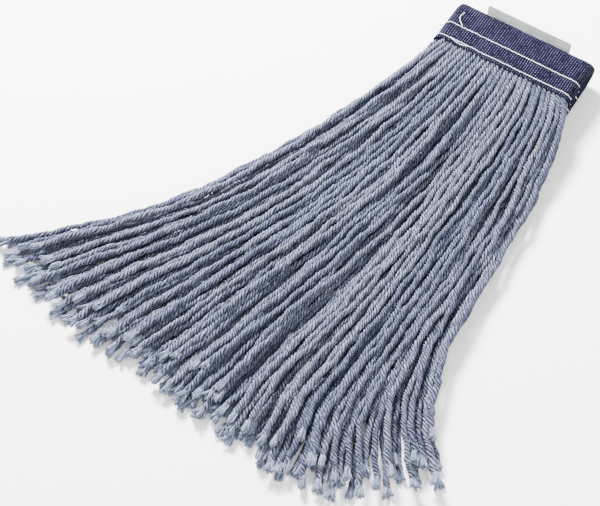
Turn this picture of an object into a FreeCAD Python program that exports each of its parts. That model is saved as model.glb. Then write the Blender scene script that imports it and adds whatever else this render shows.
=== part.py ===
import FreeCAD, Part

import math
import os

import Sketcher
from FreeCAD import Placement, Rotation, Vector

# Cut-end string mop head, without its handle, lying on a floor.
#
# Frame: the origin is the middle of the channel inside the fold, where the handle's gate bar goes.
# X runs along the channel, +Y points from the yarn towards the fold, and +Z is up.
# The headband is a wide tape sewn over 162 lengths of yarn on both sides, then folded in half round the
# channel. Its upper half is called front and its lower half back. Each half holds 81 strands, in three
# layers where the tape grips them, and they thin out to a fan that lies on the floor.

doc = FreeCAD.newDocument("string_mop_head")

DIMENSIONS = [
    ("band_length", 160.0, "headband, along the fold"),
    ("flap_height", 63.5, "from the outside of the fold to the band's lower edge"),
    ("half_thickness", 19.0, "from the middle plane to the outside of the cover tape"),
    ("tape_thickness", 1.2, "cover tape and lining tape"),
    ("channel_radius", 4.75, "channel for a 3/8 inch gate bar"),
    ("flap_clearance", 1.0, "from the middle plane to each flap's lining"),
    ("fold_clearance", 0.15, "from the middle plane to each half of the fold"),
    ("thread_radius", 0.35, "sewing thread"),
    ("thread_clearance", 0.03, "between a thread and its tape"),
    ("lower_row_rise", 5.0, "lower stitch row above the lower edge"),
    ("upper_row_rise", 24.0, "upper stitch row above the lower edge"),
    ("row_end_angle", 65.0, "how far a row runs round the band's end, in degrees"),
    ("strip_length", 98.0, "plastic strip, along the fold"),
    ("strip_height", 18.7, "plastic strip, across the fold"),
    ("strip_thickness", 0.9, "plastic strip"),
    ("strip_corner", 3.0, "plastic strip's corner radius"),
    ("strip_standoff", 0.15, "from the cover tape to the plastic strip"),
    ("strip_rise", 1.2, "plastic strip's lower edge above the middle plane"),
    ("strip_shift", -1.0, "plastic strip's middle from the band's middle"),
    ("strands_per_half", 81, "yarn ends on each side of the fold"),
    ("layers", 3, "layers of yarn in each half"),
    ("strand_pitch", 5.5, "diameter of a relaxed strand, which sets how strands stack"),
    ("strand_core", 4.3, "diameter of a strand's solid, under light pressure"),
    ("strand_length", 483.0, "free length of the longest strands"),
    ("strand_start", 1.4, "from the band's lower edge to the start of a free strand"),
    ("root_width", 152.0, "width of the yarn where it leaves the band"),
    ("hank_gap_root", 5.6, "gap between neighbouring hanks at the band"),
    ("hank_gap_tip", 7.5, "gap between neighbouring hanks at the tips"),
    ("floor_height", -19.8, "height of the floor below the channel"),
]

sheet = doc.addObject("Spreadsheet::Sheet", "Dimensions")
for row, (alias, value, meaning) in enumerate(DIMENSIONS, start=1):
    sheet.set(f"A{row}", alias)
    sheet.set(f"B{row}", str(value))
    sheet.setAlias(f"B{row}", alias)
    sheet.set(f"C{row}", meaning)
doc.recompute()

LOWER_EDGE = "(Dimensions.half_thickness - Dimensions.flap_height)"
END_RADIUS = "((Dimensions.half_thickness - Dimensions.flap_clearance) / 2)"
MID_HEIGHT = "((Dimensions.half_thickness + Dimensions.flap_clearance) / 2)"
OVERCUT = 1.0
ALONG_X = Rotation(Vector(1, 1, 1), 120)  # turns a cylinder's axis to X and its start edge to Y
ALONG_Y = Rotation(Vector(1, 0, 0), -90)  # turns a cylinder's axis to Y


def size(alias):
    """The value of one of the sheet's cells."""
    return float(sheet.get(alias))


lower_edge = size("half_thickness") - size("flap_height")
end_radius = (size("half_thickness") - size("flap_clearance")) / 2
mid_height = (size("half_thickness") + size("flap_clearance")) / 2
strand_count = int(size("strands_per_half"))

sub_parts = []


def sub_part(obj, label):
    """Names a finished piece; its label names its file."""
    obj.Label = label
    sub_parts.append(obj)
    return obj


def primitive(kind, name, sizes, base, rotation=None):
    """A Part primitive with its sizes and its place bound to the sheet."""
    obj = doc.addObject(kind, name)
    if rotation is not None:
        obj.Placement = Placement(Vector(0, 0, 0), rotation)
    for prop, expression in sizes.items():
        obj.setExpression(prop, str(expression))
    for axis, expression in zip("xyz", base):
        obj.setExpression(f"Placement.Base.{axis}", str(expression))
    return obj


def fuse(name, *shapes):
    """One shape from several."""
    obj = doc.addObject("Part::MultiFuse", name)
    obj.Shapes = list(shapes)
    return obj


def cut(name, base, tool):
    """Base without tool."""
    obj = doc.addObject("Part::Cut", name)
    obj.Base = base
    obj.Tool = tool
    return obj


def common(name, *shapes):
    """What all the shapes share."""
    obj = doc.addObject("Part::MultiCommon", name)
    obj.Shapes = list(shapes)
    return obj


# --------------------------------------------------------------------------------------------------
# The front half of the headband
# --------------------------------------------------------------------------------------------------


def half_band(name, inset, overcut):
    """The outline of the front half, inset on every closed side, and run past its open sides by overcut."""
    start = f"{LOWER_EDGE} - {overcut}"
    left = "-Dimensions.band_length / 2"
    outer = f"(Dimensions.half_thickness - {inset})"
    flap_depth = f"({overcut} - {LOWER_EDGE})"
    flap = primitive(
        "Part::Box",
        f"{name}_flap",
        {"Length": "Dimensions.band_length", "Width": flap_depth, "Height": outer},
        (left, start, 0),
    )
    nose = primitive(
        "Part::Cylinder",
        f"{name}_nose",
        {"Radius": outer, "Height": "Dimensions.band_length", "Angle": 90},
        (left, 0, 0),
        ALONG_X,
    )
    channel = primitive(
        "Part::Cylinder",
        f"{name}_channel",
        {"Radius": f"Dimensions.channel_radius + {inset}", "Height": "Dimensions.band_length"},
        (left, 0, 0),
        ALONG_X,
    )
    flap_gap = primitive(
        "Part::Box",
        f"{name}_flap_gap",
        {
            "Length": "Dimensions.band_length",
            "Width": flap_depth,
            "Height": f"Dimensions.flap_clearance + {inset} + {OVERCUT}",
        },
        (left, start, -OVERCUT),
    )
    fold_gap = primitive(
        "Part::Box",
        f"{name}_fold_gap",
        {
            "Length": "Dimensions.band_length",
            "Width": f"Dimensions.half_thickness + {OVERCUT}",
            "Height": f"Dimensions.fold_clearance + {OVERCUT} - {overcut} / 10",
        },
        (left, 0, -OVERCUT),
    )
    side = cut(
        f"{name}_side",
        fuse(f"{name}_outer", flap, nose),
        fuse(f"{name}_inner", channel, flap_gap, fold_gap),
    )

    depth = f"Dimensions.flap_height + {overcut}"
    straight = f"(Dimensions.band_length - 2 * {END_RADIUS})"
    middle = primitive(
        "Part::Box",
        f"{name}_middle",
        {"Length": straight, "Width": depth, "Height": outer},
        (f"-{straight} / 2", start, 0),
    )
    ends = [
        primitive(
            "Part::Cylinder",
            f"{name}_end_{word}",
            {"Radius": f"{END_RADIUS} - {inset}", "Height": depth},
            (f"{sign} * {straight} / 2", start, MID_HEIGHT),
            ALONG_Y,
        )
        for word, sign in (("left", -1), ("right", 1))
    ]
    plan = fuse(f"{name}_plan", middle, *ends)
    return common(name, side, plan)


outer_half = half_band("outer_half", "0", 0)
yarn_space = half_band("yarn_space", "Dimensions.tape_thickness", OVERCUT)
skin = cut("tape_skin", outer_half, yarn_space)

# The cover tape and the lining tape meet half way through the thickness.
lining_side_flap = primitive(
    "Part::Box",
    "lining_side_flap",
    {
        "Length": "Dimensions.band_length",
        "Width": f"{OVERCUT} - {LOWER_EDGE}",
        "Height": f"{MID_HEIGHT} + {OVERCUT}",
    },
    ("-Dimensions.band_length / 2", f"{LOWER_EDGE} - {OVERCUT}", -OVERCUT),
)
lining_side_fold = primitive(
    "Part::Cylinder",
    "lining_side_fold",
    {"Radius": MID_HEIGHT, "Height": "Dimensions.band_length"},
    ("-Dimensions.band_length / 2", 0, 0),
    ALONG_X,
)
lining_side = fuse("lining_side", lining_side_flap, lining_side_fold)

front_cover = sub_part(cut("front_cover", skin, lining_side), "front_cover_tape")
front_lining = sub_part(common("front_lining", skin, lining_side), "front_lining_tape")
front_yarn = sub_part(common("front_yarn", outer_half, yarn_space), "front_yarn_in_band")


# --------------------------------------------------------------------------------------------------
# Routes and tubes
# --------------------------------------------------------------------------------------------------


def tube(path, radius):
    """A round tube along a wire of straight edges and tangent arcs."""
    first = path.OrderedEdges[0]
    start = first.valueAt(first.FirstParameter)
    direction = first.tangentAt(first.FirstParameter)
    section = Part.Wire(Part.makeCircle(radius, start, direction))
    solid = path.makePipeShell([section], True, False)
    swept = math.pi * radius**2 * path.Length
    if abs(solid.Volume / swept - 1) > 0.01:
        raise ValueError("a tube's volume differs from its section times its length")
    return solid


def rounded_route(points):
    """Straight runs joined by tangent arcs, each as large as its two runs allow, and its least radius."""
    edges = []
    tightest = float("inf")
    begin = points[0]
    for before, corner, after in zip(points, points[1:], points[2:]):
        incoming = (corner - before).normalize()
        outgoing = (after - corner).normalize()
        half_turn = incoming.getAngle(outgoing) / 2
        reach = 0.45 * min((corner - before).Length, (after - corner).Length)
        radius = reach / math.tan(half_turn)
        tightest = min(tightest, radius)
        arc_start = corner - incoming * reach
        arc_end = corner + outgoing * reach
        centre_way = (outgoing - incoming).normalize()
        centre = corner + centre_way * (radius / math.cos(half_turn))
        arc_middle = centre - centre_way * radius
        edges.append(Part.LineSegment(begin, arc_start).toShape())
        edges.append(Part.Arc(arc_start, arc_middle, arc_end).toShape())
        begin = arc_end
    edges.append(Part.LineSegment(begin, points[-1]).toShape())
    return Part.Wire(edges), tightest


def thread_row(rise, height, outward):
    """A stitch row along X that follows the tape round both ends of the band."""
    half_straight = size("band_length") / 2 - end_radius
    away = end_radius + size("thread_radius") + size("thread_clearance")
    y = lower_edge + rise

    def around(side, angle):
        turn = math.radians(angle)
        x = side * (half_straight + away * math.sin(turn))
        return Vector(x, y, height + outward * away * math.cos(turn))

    angle = size("row_end_angle")
    left = Part.Arc(around(-1, angle), around(-1, angle / 2), around(-1, 0)).toShape()
    middle = Part.LineSegment(around(-1, 0), around(1, 0)).toShape()
    right = Part.Arc(around(1, 0), around(1, angle / 2), around(1, angle)).toShape()
    return tube(Part.Wire([left, middle, right]), size("thread_radius"))


def shape_part(label, shape):
    """A piece whose shape is worked out here from the sheet's values."""
    obj = doc.addObject("Part::Feature", label)
    obj.Shape = shape
    return sub_part(obj, label)


def mirrored(source, label):
    """The same piece on the other side of the middle plane."""
    obj = doc.addObject("Part::Mirroring", label)
    obj.Source = source
    obj.Normal = Vector(0, 0, 1)
    return sub_part(obj, label)


front_threads = []
for row_name in ("upper", "lower"):
    row_rise = size(f"{row_name}_row_rise")
    for thread_name, outward in (("needle", 1), ("bobbin", -1)):
        label = f"front_{row_name}_{thread_name}_thread"
        front_threads.append(shape_part(label, thread_row(row_rise, mid_height, outward)))

# The end of the upper row's thread was left long and lies loose on the cover tape.
TAIL_POINTS = [(-60.0, -19.4), (-64.5, -16.2), (-67.6, -12.0), (-68.6, -7.4), (-66.8, -3.0)]
tail_height = size("half_thickness") + size("thread_radius") + size("thread_clearance")
tail_route, tail_radius = rounded_route([Vector(x, y, tail_height) for x, y in TAIL_POINTS])
shape_part("loose_thread_tail", tube(tail_route, size("thread_radius")))

# --------------------------------------------------------------------------------------------------
# The plastic strip along the outside of the fold
# --------------------------------------------------------------------------------------------------


def origin_plane(body, role):
    """One of a body's own origin planes."""
    return next(item for item in body.Origin.OriginFeatures if item.Role == role)


strip = sub_part(doc.addObject("PartDesign::Body", "strip"), "plastic_fold_strip")
strip_sketch = strip.newObject("Sketcher::SketchObject", "strip_outline")
strip_sketch.AttachmentSupport = [(origin_plane(strip, "XZ_Plane"), "")]
strip_sketch.MapMode = "FlatFace"
half_strip = size("strip_length") / 2
strip_base = size("strip_rise")
corners = [
    Vector(-half_strip, strip_base, 0),
    Vector(half_strip, strip_base, 0),
    Vector(half_strip, strip_base + size("strip_height"), 0),
    Vector(-half_strip, strip_base + size("strip_height"), 0),
]
for index, corner in enumerate(corners):
    strip_sketch.addGeometry(Part.LineSegment(corner, corners[(index + 1) % 4]), False)
for index in range(4):
    strip_sketch.addConstraint(Sketcher.Constraint("Coincident", index, 2, (index + 1) % 4, 1))
for index, way in ((1, "Vertical"), (2, "Horizontal"), (3, "Vertical")):
    strip_sketch.addConstraint(Sketcher.Constraint(way, index))
strip_sketch.addConstraint(Sketcher.Constraint("Symmetric", 0, 1, 0, 2, -2))
for name, constraint, expression in (
    ("base", Sketcher.Constraint("DistanceY", -1, 1, 0, 1, strip_base), "Dimensions.strip_rise"),
    ("length", Sketcher.Constraint("DistanceX", 0, 1, 0, 2, 2 * half_strip), "Dimensions.strip_length"),
    ("height", Sketcher.Constraint("DistanceY", 1, 1, 1, 2, size("strip_height")), "Dimensions.strip_height"),
):
    number = strip_sketch.addConstraint(constraint)
    strip_sketch.renameConstraint(number, name)
    strip_sketch.setExpression(f"Constraints.{name}", expression)
strip_pad = strip.newObject("PartDesign::Pad", "strip_pad")
strip_pad.Profile = strip_sketch
strip_pad.Reversed = True
strip_pad.setExpression("Length", "Dimensions.strip_thickness")
doc.recompute()
short_edges = [
    f"Edge{number}"
    for number, edge in enumerate(strip_pad.Shape.Edges, start=1)
    if abs(edge.Length - size("strip_thickness")) < 1e-6
]
strip_fillet = strip.newObject("PartDesign::Fillet", "strip_corners")
strip_fillet.Base = (strip_pad, short_edges)
strip_fillet.setExpression("Radius", "Dimensions.strip_corner")
strip.Tip = strip_fillet
strip.setExpression("Placement.Base.x", "Dimensions.strip_shift")
strip.setExpression("Placement.Base.y", "Dimensions.half_thickness + Dimensions.strip_standoff")

# --------------------------------------------------------------------------------------------------
# The back half of the headband
# --------------------------------------------------------------------------------------------------

for front in (front_cover, front_lining, front_yarn, *front_threads):
    mirrored(front, front.Label.replace("front", "back"))

# --------------------------------------------------------------------------------------------------
# The free yarn
# --------------------------------------------------------------------------------------------------

HANKS = ("left", "middle", "right")
BUNDLES = ("a", "b", "c")
STATIONS = 19
strands_per_hank = strand_count // len(HANKS)
strands_per_bundle = strands_per_hank // len(BUNDLES)

# How the yarn's two side edges leave the line of the band, in mm at the tips.
LEFT_SPREAD = 123.0
LEFT_SWEEP = 102.0
RIGHT_SPREAD = 28.0
RIGHT_FLARE = 53.0
RIGHT_WAIST = 2.0  # how far the right edge is drawn in, half way down
RIGHT_SETTLE = 0.12  # the part of the length over which the right edge spreads
MIDDLE_SHORT = 0.02  # how much less far the middle strands reach, as a part of the length
LEFT_LONG = 0.02  # how much further the strands near the left edge reach
LEFT_LONG_END = 0.42  # how far across the fan that ends
RIGHT_SHORT = 0.15  # how much less far the right-hand strands reach
RIGHT_SHORT_START = 0.82  # how far across the fan that begins
WAVE = 5.0  # sideways wave of the strands at the tips
LONG_WAVE = 10.0  # radians of the long wave over a strand's length
SHORT_WAVE = 23.0  # radians of the short wave, which is half as wide
WAVE_DRIFT = 9.4  # radians by which the waves shift from one side of the fan to the other
FRONT_WAVE_SHIFT = 1.3  # radians between the two halves' waves
UNEVEN = 0.021  # how much longer or shorter a strand is, as a part of its length
UNEVEN_STEP = 2.4  # radians from one strand's length to the next one's
FRONT_UNEVEN_SHIFT = 1.0  # radians between the two halves' lengths
TIP_SLANT = 0.3  # how much closer slanting strands lie at the tips
GRIP = 0.1  # how far the tape presses into the lowest strands
FLOOR_CLEARANCE = 0.05
DROP_SHARE = 0.15  # the part of the length over which the back half's yarn drops to the floor
FRONT_LIFT = 4.0  # extra height of the front half's yarn where it leaves the band
LIFT_SHARE = 0.4  # the part of the length over which that height is lost


def smooth(value):
    """0 to 1 with level ends."""
    value = min(max(value, 0.0), 1.0)
    return value * value * (3 - 2 * value)


def left_edge(along):
    """Side edge of the yarn at a fraction of its length, on the left."""
    return -size("root_width") / 2 - LEFT_SPREAD * along - LEFT_SWEEP * along**3


def right_edge(along):
    """Side edge of the yarn at a fraction of its length, on the right."""
    settle = 1 - math.exp(-along / RIGHT_SETTLE)
    waist = math.sin(math.pi * smooth(along))
    return size("root_width") / 2 + RIGHT_SPREAD * settle - RIGHT_WAIST * waist + RIGHT_FLARE * along**10


def sideways(rank, along):
    """How far across the fan a strand lies, before its own wave."""
    gap = size("hank_gap_root") + (size("hank_gap_tip") - size("hank_gap_root")) * along
    width = right_edge(along) - left_edge(along) - 2 * gap
    hank = rank // strands_per_hank
    return left_edge(along) + width * (rank + 0.5) / strand_count + gap * hank


def free_length(rank):
    """A strand's length as it lies, without its waves."""
    across = (rank + 0.5) / strand_count
    short = MIDDLE_SHORT * math.sin(math.pi * across)
    short -= LEFT_LONG * math.sin(math.pi * min(across / LEFT_LONG_END, 1)) ** 2
    short += RIGHT_SHORT * smooth((across - RIGHT_SHORT_START) / (1 - RIGHT_SHORT_START))
    return size("strand_length") * (1 - short)


def layer_rise(along):
    """Height from one layer to the next: strands that lie further apart sink between each other."""
    slant = 1 - TIP_SLANT * along**2
    spacing = (right_edge(along) - left_edge(along)) / strand_count * slant
    return math.sqrt(size("strand_pitch") ** 2 - spacing**2)


def strand_point(half, rank, along):
    """A point on a strand's route, at a fraction of its length."""
    reach = math.sqrt(free_length(rank) ** 2 - (sideways(rank, 1) - sideways(rank, 0)) ** 2)
    y = lower_edge - size("strand_start") - reach * along

    across = rank / strand_count
    phase = WAVE_DRIFT * across + (FRONT_WAVE_SHIFT if half == "front" else 0.0)
    swing = math.sin(LONG_WAVE * along + phase) + 0.5 * math.sin(SHORT_WAVE * along - phase)
    x = sideways(rank, along) + WAVE * along * swing

    layer = rank % int(size("layers"))
    rise = layer_rise(along)
    gripped = size("tape_thickness") - size("half_thickness") + size("strand_pitch") / 2 - GRIP
    on_floor = size("floor_height") + size("strand_core") / 2 + FLOOR_CLEARANCE
    lowest = gripped + (on_floor - gripped) * smooth(along / DROP_SHARE)
    if half == "front":
        lift = FRONT_LIFT * (1 - smooth(along / LIFT_SHARE))
        lowest += 2 * rise + size("strand_pitch") + lift
    return Vector(x, y, lowest + layer * rise)


def strand(half, rank):
    """One strand as a tube, and its least bend radius."""
    end = 1 + UNEVEN * math.sin(UNEVEN_STEP * rank + (FRONT_UNEVEN_SHIFT if half == "front" else 0.0))
    points = [strand_point(half, rank, end * station / (STATIONS - 1)) for station in range(STATIONS)]
    route, tightest = rounded_route(points)
    return tube(route, size("strand_core") / 2), tightest


strand_radii = []
for half in ("front", "back"):
    for hank_index, hank in enumerate(HANKS):
        for bundle_index, bundle in enumerate(BUNDLES):
            first = hank_index * strands_per_hank + bundle_index * strands_per_bundle
            tubes = []
            for rank in range(first, first + strands_per_bundle):
                solid, tightest = strand(half, rank)
                tubes.append(solid)
                strand_radii.append(tightest)
            shape_part(f"{half}_{hank}_strands_{bundle}", Part.makeCompound(tubes))

# --------------------------------------------------------------------------------------------------
# Checks and files
# --------------------------------------------------------------------------------------------------

doc.recompute()
for obj in doc.Objects:
    if "Invalid" in obj.State or "Error" in obj.State:
        raise RuntimeError(f"{obj.Label} failed: {obj.State}")
for obj in sub_parts:
    if obj.Shape.isNull() or not obj.Shape.isValid():
        raise RuntimeError(f"{obj.Label} has no valid shape")

print(f"loose thread tail: least radius {tail_radius:.1f} mm")
print(f"strands: least radii {min(strand_radii):.0f} to {max(strand_radii):.0f} mm")
os.makedirs("parts", exist_ok=True)
for obj in sub_parts:
    obj.Shape.exportStep(f"parts/{obj.Label}.step")
    print(f"{obj.Label}: {len(obj.Shape.Solids)} solids, {obj.Shape.Volume:.1f} mm3")
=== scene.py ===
import math

import bpy
import numpy as np
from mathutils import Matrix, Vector


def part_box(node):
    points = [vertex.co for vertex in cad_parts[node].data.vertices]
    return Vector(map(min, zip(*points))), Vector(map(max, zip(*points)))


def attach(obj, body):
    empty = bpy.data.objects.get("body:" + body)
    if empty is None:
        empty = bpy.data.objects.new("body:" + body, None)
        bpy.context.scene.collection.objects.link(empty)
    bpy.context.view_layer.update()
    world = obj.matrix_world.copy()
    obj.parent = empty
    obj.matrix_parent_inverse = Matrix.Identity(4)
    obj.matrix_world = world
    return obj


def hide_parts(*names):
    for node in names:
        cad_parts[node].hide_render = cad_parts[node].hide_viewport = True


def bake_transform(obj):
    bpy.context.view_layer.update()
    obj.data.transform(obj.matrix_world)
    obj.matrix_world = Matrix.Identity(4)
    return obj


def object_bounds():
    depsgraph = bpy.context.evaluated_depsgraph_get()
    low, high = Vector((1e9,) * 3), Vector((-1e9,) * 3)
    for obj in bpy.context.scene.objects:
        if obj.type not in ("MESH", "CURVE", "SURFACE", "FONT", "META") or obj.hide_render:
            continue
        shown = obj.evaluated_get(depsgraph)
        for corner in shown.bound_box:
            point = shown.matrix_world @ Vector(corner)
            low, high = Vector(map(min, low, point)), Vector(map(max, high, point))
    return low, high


# String mop head: a folded navy tape headband, sewn with white thread over blue-grey four-ply yarn.
# Metres, in the part's frame: +X along the fold, +Y towards the fold, +Z up.

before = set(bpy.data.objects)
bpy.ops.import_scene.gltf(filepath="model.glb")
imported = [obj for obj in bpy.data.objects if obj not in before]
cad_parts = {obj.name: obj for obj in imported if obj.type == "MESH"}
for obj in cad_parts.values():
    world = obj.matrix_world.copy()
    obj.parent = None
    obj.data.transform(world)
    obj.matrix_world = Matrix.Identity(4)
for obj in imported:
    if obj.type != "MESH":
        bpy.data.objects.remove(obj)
cad_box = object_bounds()

RNG = np.random.default_rng(24)  # for the routes of the strands
STRAND_SEED = 1000  # and a strand's number, for all else about it
PACKED_SEED = 5000  # and a strand's number, for its end in the band
STITCH_SEEDS = {"front": 7, "back": 8}
FRAY_SEED = 31  # and the half's side

# ---- Sizes, named as in the part ----

cover_low, cover_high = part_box("front_cover_tape")
BAND_LENGTH = cover_high.x - cover_low.x
HALF_THICKNESS = cover_high.z
LOWER_EDGE = cover_low.y
TAPE_THICKNESS = 0.0012
FLAP_CLEARANCE = 0.001
CHANNEL_RADIUS = 0.00475
END_RADIUS = (HALF_THICKNESS - FLAP_CLEARANCE) / 2
MID_HEIGHT = (HALF_THICKNESS + FLAP_CLEARANCE) / 2
FLOOR = cad_box[0].z
LOWER_ROW_RISE = 0.005
UPPER_ROW_RISE = 0.024

STRANDS_PER_HALF = 81
HANKS = ("left", "middle", "right")
BUNDLES = ("a", "b", "c")
STRANDS_PER_HANK = STRANDS_PER_HALF // len(HANKS)
LAYERS = 3
STATIONS = 19
STRAND_DIAMETER = 0.0055
STRAND_CORE = 0.0043
STRAND_LENGTH = 0.483
STRAND_START = 0.0014

# The fan's outline, and how its strands' lengths differ, as parts of STRAND_LENGTH.
ROOT_WIDTH = 0.152
HANK_GAP_ROOT = 0.0056
HANK_GAP_TIP = 0.0075
LEFT_SPREAD = 0.123
LEFT_SWEEP = 0.102
RIGHT_SPREAD = 0.028
RIGHT_FLARE = 0.053
RIGHT_WAIST = 0.002
RIGHT_SETTLE = 0.12
MIDDLE_SHORT = 0.02
LEFT_LONG = 0.02
LEFT_LONG_END = 0.42
RIGHT_SHORT = 0.15
RIGHT_SHORT_START = 0.82
UNEVEN = 0.021
UNEVEN_STEP = 2.4
FRONT_UNEVEN_SHIFT = 1.0

# Its strands' waves, in radians over a strand's length, and how high they lie.
WAVE = 0.005
LONG_WAVE = 10.0
SHORT_WAVE = 23.0
WAVE_DRIFT = 9.4
FRONT_WAVE_SHIFT = 1.3
TIP_SLANT = 0.3
GRIP = 0.0001
FLOOR_CLEARANCE = 0.00005
DROP_SHARE = 0.15
FRONT_LIFT = 0.004
LIFT_SHARE = 0.4

# ---- Camera ----

CAMERA_AZIMUTH = math.radians(33.0)
CAMERA_ELEVATION = math.radians(59.5)
CAMERA_PLACE = Vector((0.2932, -0.8769, 1.0960))
CAMERA_LENS = 79.4


def add_object(name, data, place=(0, 0, 0), way=None):
    """A new object in the scene, turned to look a way if one is given."""
    obj = bpy.data.objects.new(name, data)
    bpy.context.scene.collection.objects.link(obj)
    obj.location = place
    if way is not None:
        obj.rotation_mode = "QUATERNION"
        obj.rotation_quaternion = way.to_track_quat("-Z", "Y")
    return obj


def make_camera():
    """The camera at the viewing angle of the reference, level, with a long lens."""
    level = math.cos(CAMERA_ELEVATION)
    down = -math.sin(CAMERA_ELEVATION)
    way = Vector((-math.sin(CAMERA_AZIMUTH) * level, math.cos(CAMERA_AZIMUTH) * level, down))
    data = bpy.data.cameras.new("camera")
    data.lens = CAMERA_LENS
    data.sensor_width = 36.0
    bpy.context.scene.camera = add_object("camera", data, CAMERA_PLACE, way)


make_camera()

# ---- Strand routes ----


def smooth(value):
    """0 to 1 with level ends."""
    value = min(max(value, 0.0), 1.0)
    return value * value * (3 - 2 * value)


def left_edge(along):
    """Side edge of the yarn at a fraction of its length, on the left."""
    return -ROOT_WIDTH / 2 - LEFT_SPREAD * along - LEFT_SWEEP * along**3


def right_edge(along):
    """Side edge of the yarn at a fraction of its length, on the right."""
    settle = 1 - math.exp(-along / RIGHT_SETTLE)
    waist = math.sin(math.pi * smooth(along))
    return ROOT_WIDTH / 2 + RIGHT_SPREAD * settle - RIGHT_WAIST * waist + RIGHT_FLARE * along**10


def sideways(rank, along):
    """How far across the fan a strand lies, before its own wave."""
    gap = HANK_GAP_ROOT + (HANK_GAP_TIP - HANK_GAP_ROOT) * along
    width = right_edge(along) - left_edge(along) - 2 * gap
    hank = rank // STRANDS_PER_HANK
    return left_edge(along) + width * (rank + 0.5) / STRANDS_PER_HALF + gap * hank


def free_length(rank):
    """A strand's length as it lies, without its waves."""
    across = (rank + 0.5) / STRANDS_PER_HALF
    short = MIDDLE_SHORT * math.sin(math.pi * across)
    short -= LEFT_LONG * math.sin(math.pi * min(across / LEFT_LONG_END, 1)) ** 2
    short += RIGHT_SHORT * smooth((across - RIGHT_SHORT_START) / (1 - RIGHT_SHORT_START))
    return STRAND_LENGTH * (1 - short)


def layer_rise(along):
    """Height from one layer to the next."""
    slant = 1 - TIP_SLANT * along**2
    spacing = (right_edge(along) - left_edge(along)) / STRANDS_PER_HALF * slant
    return math.sqrt(STRAND_DIAMETER**2 - spacing**2)


def strand_point(half, rank, along):
    """A point on a strand's route, at a fraction of its length, as in the part."""
    reach = math.sqrt(free_length(rank) ** 2 - (sideways(rank, 1) - sideways(rank, 0)) ** 2)
    y = LOWER_EDGE - STRAND_START - reach * along
    phase = WAVE_DRIFT * rank / STRANDS_PER_HALF + (FRONT_WAVE_SHIFT if half == "front" else 0.0)
    swing = math.sin(LONG_WAVE * along + phase) + 0.5 * math.sin(SHORT_WAVE * along - phase)
    gripped = TAPE_THICKNESS - HALF_THICKNESS + STRAND_DIAMETER / 2 - GRIP
    on_floor = FLOOR + STRAND_CORE / 2 + FLOOR_CLEARANCE
    rise = layer_rise(along)
    lowest = gripped + (on_floor - gripped) * smooth(along / DROP_SHARE)
    if half == "front":
        lowest += 2 * rise + STRAND_DIAMETER + FRONT_LIFT * (1 - smooth(along / LIFT_SHARE))
    return (sideways(rank, along) + WAVE * along * swing, y, lowest + (rank % LAYERS) * rise)


def strand_route(half, rank):
    """The part's route of one strand."""
    end = 1 + UNEVEN * math.sin(UNEVEN_STEP * rank + (FRONT_UNEVEN_SHIFT if half == "front" else 0.0))
    return [strand_point(half, rank, end * station / (STATIONS - 1)) for station in range(STATIONS)]


STRANDS = [(half, rank) for half in ("back", "front") for rank in range(STRANDS_PER_HALF)]
STUB = 0.008  # how far a strand is modelled inside the band
END_ROOM = 0.0052  # how far a strand's centre may lie out in the band's rounded ends

# How the strands stray from the part's routes. Turns are in radians over a strand's length.
LEFT_PULL = 0.0080  # how far the left edge is drawn in, past half way down
RIGHT_BULGE = 0.0105  # how far the right edge stands out
BULGE_PLACE = 0.66
BULGE_REACH = 0.08
INTERLEAVE = 0.25  # of a strand's spacing, that the front's tips lie further right and the back's left
ROOT_SHARE = 0.08  # how far down the band's rounded ends still press the strands together
WANDER = 0.0088  # how far a strand strays sideways by itself
WANDER_SHARES = (0.9, 0.6, 0.45)
FEWEST_TURNS = (4.0, 11.0, 24.0)
MOST_TURNS = (8.0, 19.0, 38.0)
STIFF_ROOT = 0.008  # how slowly the wander sets in
CLUMP = 0.0036  # how far strands are drawn together into clumps
CLUMP_WAVES = ((4.7, 5.0), (7.3, -7.0))  # strands to a clump, and its turns
CALM = 0.75  # how much less the right side's tips stray
CALM_START = 0.65
CALM_SPAN = 0.15
LIFT = (-0.002, 0.004)
END_SWAY = (0.0036, 0.0065)  # for the last two control points

# How they settle.
SLACK = 1.01  # a strand's length against its route's
DRIFT_LIMIT = 0.0105  # no control point moves further from the part's route
DENSE = 120  # places along a strand where it is kept clear of its neighbours
SETTLE_STEPS = 150
SEARCH_EVERY = 5  # steps
SEARCH_MARGIN = 0.0015
SINK = 0.0001  # fall in one step
PUSH = 1.3  # makes up for places that share a control point
UNBEND = 0.04  # share of a bend that is straightened in one step
HOLD_LENGTH = 0.9  # share of a stretch that is taken back in one step


def spline_weights(points, samples):
    """Rows that turn control points into places on a clamped quadratic B-spline."""
    spans = points - 2
    knots = np.concatenate([[0, 0], np.arange(spans + 1), [spans, spans]]).astype(float)
    at = np.linspace(0, spans * (1 - 1e-9), samples)
    basis = np.zeros((samples, points + 2))
    for index in range(points + 2):
        basis[:, index] = (knots[index] <= at) & (at < knots[index + 1])
    for degree in (1, 2):
        raised = np.zeros((samples, points + 2 - degree))
        for index in range(points + 2 - degree):
            left = knots[index + degree] - knots[index]
            right = knots[index + degree + 1] - knots[index + 1]
            if left > 0:
                raised[:, index] += (at - knots[index]) / left * basis[:, index]
            if right > 0:
                raised[:, index] += (knots[index + degree + 1] - at) / right * basis[:, index + 1]
        basis = raised
    return basis


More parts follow.
